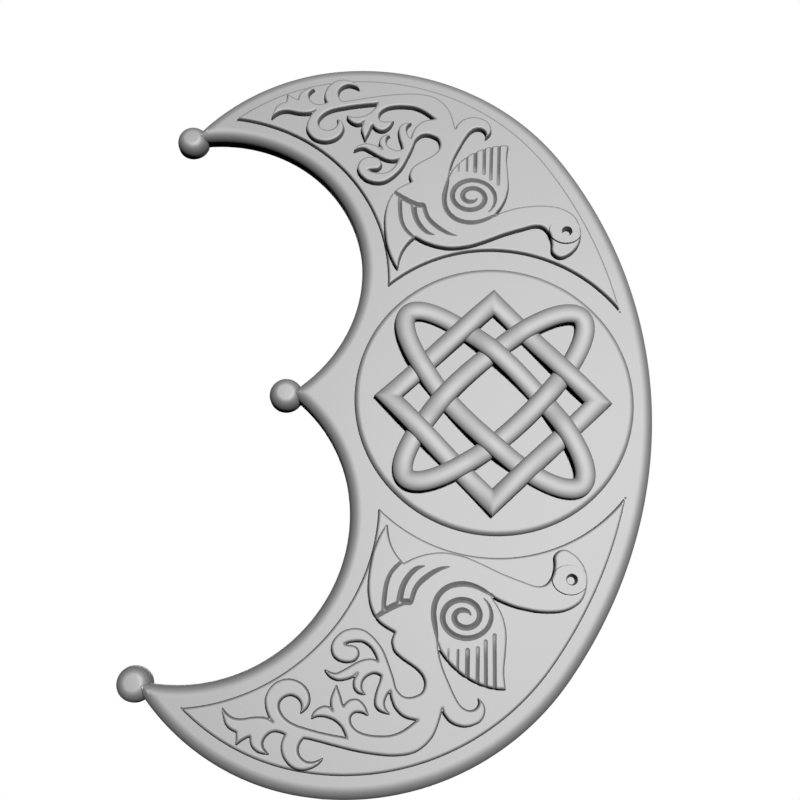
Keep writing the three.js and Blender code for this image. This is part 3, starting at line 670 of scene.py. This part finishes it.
def upright_mesh(name, points, faces):
    """A mesh in metres, stood upright: plate x, y and z become x, z and minus y."""
    stood = np.column_stack([points[:, 0], -points[:, 2], points[:, 1]]) / 1000.0
    mesh = bpy.data.meshes.new(name)
    mesh.from_pydata(stood.tolist(), [], faces.tolist())
    mesh.update()
    piece = bpy.data.objects.new(name, mesh)
    bpy.context.scene.collection.objects.link(piece)
    return piece


onlay = upright_mesh("carved_onlay", plate_points, plate_triangles)
print("the plate has", len(onlay.data.polygons), "faces")

# %% [markdown]
# ## The woven knot
# Each strand is a low round on straight sides, carried along a closed path: a square on its corner,
# and two long loops on the diagonals. A strand rises where it passes over another and dips where it
# passes under, and over and under take turns all the way round.

# %% Sizes of the knot
KNOT = np.array([-0.7, -2.0])
STRAND_HALF = 3.9
STRAND_HEIGHT = 2.3
STRAND_CROWN = 1.8
STRAND_SINK = 1.0  # how deep a strand's straight sides go into the plate
STRAND_FOOT = STRAND_HEIGHT + DISC_RISE + STRAND_SINK
WEAVE_RISE = 1.0
SQUARE_REACH = 41.1
LOOP_LENGTH = 48.2
LOOP_WIDTH = 14.2
FALLING_SHIFT = (0.0, 1.0)
RISING_SHIFT = (1.1, 1.7)
ROUND_SIDES = 14
SQUARE_STEPS, LOOP_STEPS = 200, 240
print("the knot's highest spot is at", DISC_LEVEL + STRAND_HEIGHT + STRAND_CROWN + WEAVE_RISE)


# %% Carrying the profile round
def strand(name, route, lift, steps):
    """Rings of one profile along a closed path. A profile spot goes across the path by its first
    number and up by its second, and the low round part rises and dips with the weave."""
    turn = np.arange(steps) / steps
    angle = np.linspace(0.0, math.pi, ROUND_SIDES + 1)
    across = np.append(STRAND_HALF * np.cos(angle), [-STRAND_HALF, STRAND_HALF])
    up = np.append(STRAND_CROWN * np.sin(angle), [-STRAND_FOOT, -STRAND_FOOT])
    woven = np.append(np.ones(len(angle)), [0.0, 0.0])
    turn_grid, across_grid = np.meshgrid(turn, across, indexing="ij")
    x, y = route(turn_grid, across_grid)
    z = DISC_LEVEL + STRAND_HEIGHT + up + WEAVE_RISE * woven * lift(turn)[:, None]
    points = np.stack([KNOT[0] + x, KNOT[1] + y, z], 2).reshape(-1, 3)
    i, j = np.meshgrid(np.arange(steps), np.arange(len(across)), indexing="ij")
    next_i, next_j = (i + 1) % steps, (j + 1) % len(across)
    width = len(across)
    corners = [i * width + j, next_i * width + j, next_i * width + next_j, i * width + next_j]
    return upright_mesh(name, points, np.stack(corners, 2).reshape(-1, 4))


def square_route(turn, across):
    """Once round a square on its corner, left, bottom, right, top. Moving across moves the corners
    out by the square root of two, so that the corners stay mitred."""
    reach = SQUARE_REACH + math.sqrt(2.0) * across
    side = np.floor(turn * 4).astype(int)
    share = turn * 4 - side
    corners = np.array([(-1, 0), (0, -1), (1, 0), (0, 1), (-1, 0)], float)
    spot = corners[side] * (1 - share)[..., None] + corners[side + 1] * share[..., None]
    return reach * spot[..., 0], reach * spot[..., 1]


def loop_route(hand, shift):
    """Once round an ellipse on a diagonal: its length times a cosine, its width times a sine. Across
    is at right angles to the way it runs, and the middle is shifted from the square's."""
    def route(turn, across):
        angle = -hand * 2 * math.pi * turn
        far = LOOP_LENGTH * np.cos(angle)
        near = LOOP_WIDTH * np.sin(angle)
        d_far = -LOOP_LENGTH * np.sin(angle)
        d_near = LOOP_WIDTH * np.cos(angle)
        length = np.hypot(d_far, d_near)
        far, near = far + across * d_near / length, near - across * d_far / length
        return shift[0] + hand * (near - far) / math.sqrt(2.0), shift[1] + (near + far) / math.sqrt(2.0)
    return route


# %% The weave
square_crossing = math.acos(SQUARE_REACH / math.sqrt(2.0) / LOOP_LENGTH)
loop_crossing = math.atan(LOOP_LENGTH / LOOP_WIDTH)
half_round = np.array([square_crossing, loop_crossing, math.pi - loop_crossing, math.pi - square_crossing])
crossings = np.concatenate([half_round, half_round + math.pi, half_round[:1] + 2 * math.pi])


def loop_lift(hand):
    """Under at the first crossing, over at the next, and a cosine wave between them."""
    def lift(turn):
        angle = (-hand * 2 * math.pi * turn) % (2 * math.pi)
        angle = np.where(angle < crossings[0], angle + 2 * math.pi, angle)
        last = np.clip(np.searchsorted(crossings, angle, side="right") - 1, 0, 7)
        share = (angle - crossings[last]) / (crossings[last + 1] - crossings[last])
        return hand * np.where(last % 2 == 1, 1.0, -1.0) * np.cos(math.pi * share)
    return lift


strands = [
    strand("square_strand", square_route, lambda turn: np.sin(8 * math.pi * turn), SQUARE_STEPS),
    strand("falling_loop", loop_route(1, FALLING_SHIFT), loop_lift(1), LOOP_STEPS),
    strand("rising_loop", loop_route(-1, RISING_SHIFT), loop_lift(-1), LOOP_STEPS),
]
print("strands of", [len(s.data.polygons) for s in strands], "faces")

# %% [markdown]
# ## The balls
# A ball is a profile turned about a line: straight up from the back, a quarter of an ellipse over,
# and a flat top. The tip balls sit where the two edges of a horn come together.

# %% Turning the balls
BALL_RADIUS, BALL_RISE, BALL_FLAT, BALL_CROWN = 6.7, 1.9, 2.6, 5.6
BALL_STEPS, BALL_SIDES = 14, 64
TIP_FROM_BAY, TIP_PAST_EDGE = 1.6, 0.4  # the tip ball's middle, from the horn's inner and outer edge
CUSP_OVERHANG = 1.5  # the middle ball's middle, past the cusp between the bays


def meeting(first, first_radius, second, second_radius):
    """The left one of the two spots where two circles cross, from the three sides of a triangle."""
    way = second - first
    apart = np.hypot(*way)
    along = (apart**2 + first_radius**2 - second_radius**2) / (2 * apart)
    aside = math.sqrt(first_radius**2 - along**2)
    return first + along * way / apart + aside * np.array([-way[1], way[0]]) / apart


def ball(name, place):
    """Rings of the profile round a middle line, closed by a fan above and one below."""
    angle = np.linspace(0.0, math.pi / 2, BALL_STEPS)
    radius = np.append(BALL_RADIUS, BALL_FLAT + (BALL_RADIUS - BALL_FLAT) * np.cos(angle))
    height = np.append(0.0, BALL_RISE + BALL_CROWN * np.sin(angle))
    sides = BALL_SIDES
    turn = 2 * math.pi * np.arange(sides) / sides
    x = place[0] + radius[:, None] * np.cos(turn)
    y = place[1] + radius[:, None] * np.sin(turn)
    z = np.repeat(height[:, None], sides, axis=1)
    rings = np.stack([x, y, z], 2).reshape(-1, 3)
    middle = [[place[0], place[1], 0.0], [place[0], place[1], height[-1]]]
    i, j = np.meshgrid(np.arange(len(radius) - 1), np.arange(sides), indexing="ij")
    a, b = i * sides + j, i * sides + (j + 1) % sides
    side_one = np.stack([a, b, b + sides], 2).reshape(-1, 3)
    side_two = np.stack([a, b + sides, a + sides], 2).reshape(-1, 3)
    step = np.arange(sides)
    next_step = (step + 1) % sides
    last = (len(radius) - 1) * sides
    under = np.stack([next_step, step, np.full(sides, len(rings))], 1)
    over = np.stack([last + step, last + next_step, np.full(sides, len(rings) + 1)], 1)
    points = np.concatenate([rings, middle])
    return upright_mesh(name, points, np.concatenate([side_one, side_two, under, over]))


tip = meeting(BAY, BAY_RADIUS + TIP_FROM_BAY, HORN, HORN_RADIUS + TIP_PAST_EDGE)
cusp = BAY[0] + math.sqrt(BAY_RADIUS**2 - BAY[1] ** 2)
balls = [
    ball("upper_ball", tip),
    ball("lower_ball", tip * [1, -1]),
    ball("middle_ball", (cusp - CUSP_OVERHANG, 0.0)),
]
print("the tip ball is at", tip)


# %% [markdown]
# ## Joining
# On the real piece all of this is one carved body, so the strands and balls are joined to the plate
# with boolean unions. Then edges sharper than a limit are marked, so that rounds shade smoothly
# while carved edges stay crisp.

# %% One body
def united(body, piece):
    """Joins piece to body with a boolean modifier that is applied at once."""
    union = body.modifiers.new("join", "BOOLEAN")
    union.operation = "UNION"
    union.solver = "MANIFOLD"
    union.object = piece
    bpy.context.view_layer.objects.active = body
    bpy.ops.object.modifier_apply(modifier=union.name)
    bpy.data.objects.remove(piece)


for piece in strands + balls:
    united(onlay, piece)
SHARP_ANGLE = math.radians(28)
onlay.data.shade_smooth()
onlay.data.set_sharp_from_angle(angle=SHARP_ANGLE)
print("the joined onlay has", len(onlay.data.vertices), "points and", len(onlay.data.polygons), "faces")

# %% [markdown]
# ## The primed surface
# Primer over close-grained wood looks the same grey all over from a step away. Close up its colour
# drifts a little, and the grain shows through as faint long lines along the crescent. The grey is
# darker and the index of refraction higher than a real primer's. Both were set by trial, with the
# lamps, to come near the photograph's look, and aren't measured properties of the finish.


# %% Primer material
DARK_GREY, LIGHT_GREY = (0.185, 0.185, 0.185, 1.0), (0.2, 0.2, 0.2, 1.0)
GRAIN_STRETCH = (1.0, 1.0, 0.06)


def primer():
    """A matte grey whose lightness drifts by a few hundredths, with long fine grain as bump."""
    material = bpy.data.materials.new("primed_wood")
    material.use_nodes = True
    nodes, links = material.node_tree.nodes, material.node_tree.links
    shader = nodes["Principled BSDF"]
    shader.inputs["Roughness"].default_value = 0.66
    shader.inputs["IOR"].default_value = 2.2
    shader.inputs["Specular IOR Level"].default_value = 1.0
    place = nodes.new("ShaderNodeTexCoord")
    stretch = nodes.new("ShaderNodeMapping")
    stretch.inputs["Scale"].default_value = GRAIN_STRETCH
    grain = nodes.new("ShaderNodeTexNoise")
    grain.inputs["Scale"].default_value = 900.0
    grain.inputs["Detail"].default_value = 3.0
    drift = nodes.new("ShaderNodeTexNoise")
    drift.inputs["Scale"].default_value = 22.0
    drift.inputs["Detail"].default_value = 4.0
    tone = nodes.new("ShaderNodeValToRGB")
    tone.color_ramp.elements[0].position = 0.3
    tone.color_ramp.elements[0].color = DARK_GREY
    tone.color_ramp.elements[1].position = 0.7
    tone.color_ramp.elements[1].color = LIGHT_GREY
    bump = nodes.new("ShaderNodeBump")
    bump.inputs["Strength"].default_value = 0.12
    bump.inputs["Distance"].default_value = 0.0001
    links.new(place.outputs["Object"], stretch.inputs["Vector"])
    links.new(stretch.outputs["Vector"], grain.inputs["Vector"])
    links.new(place.outputs["Object"], drift.inputs["Vector"])
    links.new(drift.outputs["Fac"], tone.inputs["Fac"])
    links.new(tone.outputs["Color"], shader.inputs["Base Color"])
    links.new(grain.outputs["Fac"], bump.inputs["Height"])
    links.new(bump.outputs["Normal"], shader.inputs["Normal"])
    return material


onlay.data.materials.clear()
onlay.data.materials.append(primer())
onlay.data.polygons.foreach_set("material_index", np.zeros(len(onlay.data.polygons), np.int32))
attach(onlay, "root")
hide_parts("crescent_onlay")
print("the primer's lightness runs from", DARK_GREY[0], "to", LIGHT_GREY[0])

# %% [markdown]
# ## Floor, light and camera
# The photograph shows the piece alone on white, seen from a little below, so the floor is far below
# it and as pale as the backdrop all around. One small lamp in front, to the right and above, lights
# the face, and a weak one behind keeps the back from going black. The creases of the photograph are
# nearly black, so no light is passed on from one face to the next.


# %% Floor and backdrop
def glowing_white(name):
    """An even white that doesn't depend on the lights."""
    material = bpy.data.materials.new(name)
    material.use_nodes = True
    nodes, links = material.node_tree.nodes, material.node_tree.links
    nodes.clear()
    glow = nodes.new("ShaderNodeEmission")
    glow.inputs["Color"].default_value = (1.0, 1.0, 1.0, 1.0)
    out = nodes.new("ShaderNodeOutputMaterial")
    links.new(glow.outputs["Emission"], out.inputs["Surface"])
    return material


def stage_piece(kind, name, **shape):
    """A stage mesh that only the camera sees, so that it neither lights nor shades the onlay."""
    kind(**shape)
    piece = bpy.context.object
    piece.name = name
    piece.data.materials.append(glowing_white(name))
    for ray in ("visible_diffuse", "visible_glossy", "visible_transmission", "visible_shadow"):
        setattr(piece, ray, False)


FLOOR_PLACE = (0.0, 0.0, -1.6)
stage_piece(bpy.ops.mesh.primitive_plane_add, "floor", size=30.0, location=FLOOR_PLACE)
stage_piece(bpy.ops.mesh.primitive_uv_sphere_add, "backdrop", radius=14.0, segments=48, ring_count=24)
print("the floor lies", -FLOOR_PLACE[2], "m below the disc's middle")

# %% Light
WORLD_STRENGTH = 0.003
LIT_SPOT = Vector((-0.03, 0.0, 0.0))

world = bpy.data.worlds.new("studio")
world.use_nodes = True
world.node_tree.nodes["Background"].inputs["Color"].default_value = (1.0, 1.0, 1.0, 1.0)
world.node_tree.nodes["Background"].inputs["Strength"].default_value = WORLD_STRENGTH
bpy.context.scene.world = world


def area_light(name, place, size, watts):
    """A square light at place, turned towards the middle of the onlay. It gives direct light only."""
    data = bpy.data.lights.new(name, "AREA")
    data.size = size
    data.energy = watts
    data.cycles.max_bounces = 0
    light = bpy.data.objects.new(name, data)
    light.location = place
    light.rotation_euler = (LIT_SPOT - Vector(place)).to_track_quat("-Z", "Y").to_euler()
    bpy.context.scene.collection.objects.link(light)
    print(name, "light of", watts, "W")


area_light("key", (0.38, -2.4, 0.33), 0.3, 69.0)
area_light("rear", (-0.3, 1.9, 0.7), 0.8, 22.0)

# %% Camera
CAMERA_PLACE = Vector((-0.033, -0.3994, -0.1260))
LOOKS_AT = Vector((-0.03722, 0.0, 0.00041))
ROLL = math.radians(2.158)
LENS = 46.663

camera_data = bpy.data.cameras.new("camera")
camera_data.lens = LENS
camera_data.sensor_width = 36.0
camera_data.clip_end = 100.0
camera = bpy.data.objects.new("camera", camera_data)
level_view = (LOOKS_AT - CAMERA_PLACE).to_track_quat("-Z", "Y").to_matrix()
turned_view = level_view @ Matrix.Rotation(ROLL, 3, "Z")
camera.matrix_world = Matrix.Translation(CAMERA_PLACE) @ turned_view.to_4x4()
bpy.context.scene.collection.objects.link(camera)
bpy.context.scene.camera = camera
bpy.context.scene.view_settings.view_transform = "Standard"
print("the camera is", round((LOOKS_AT - CAMERA_PLACE).length, 3), "m away")
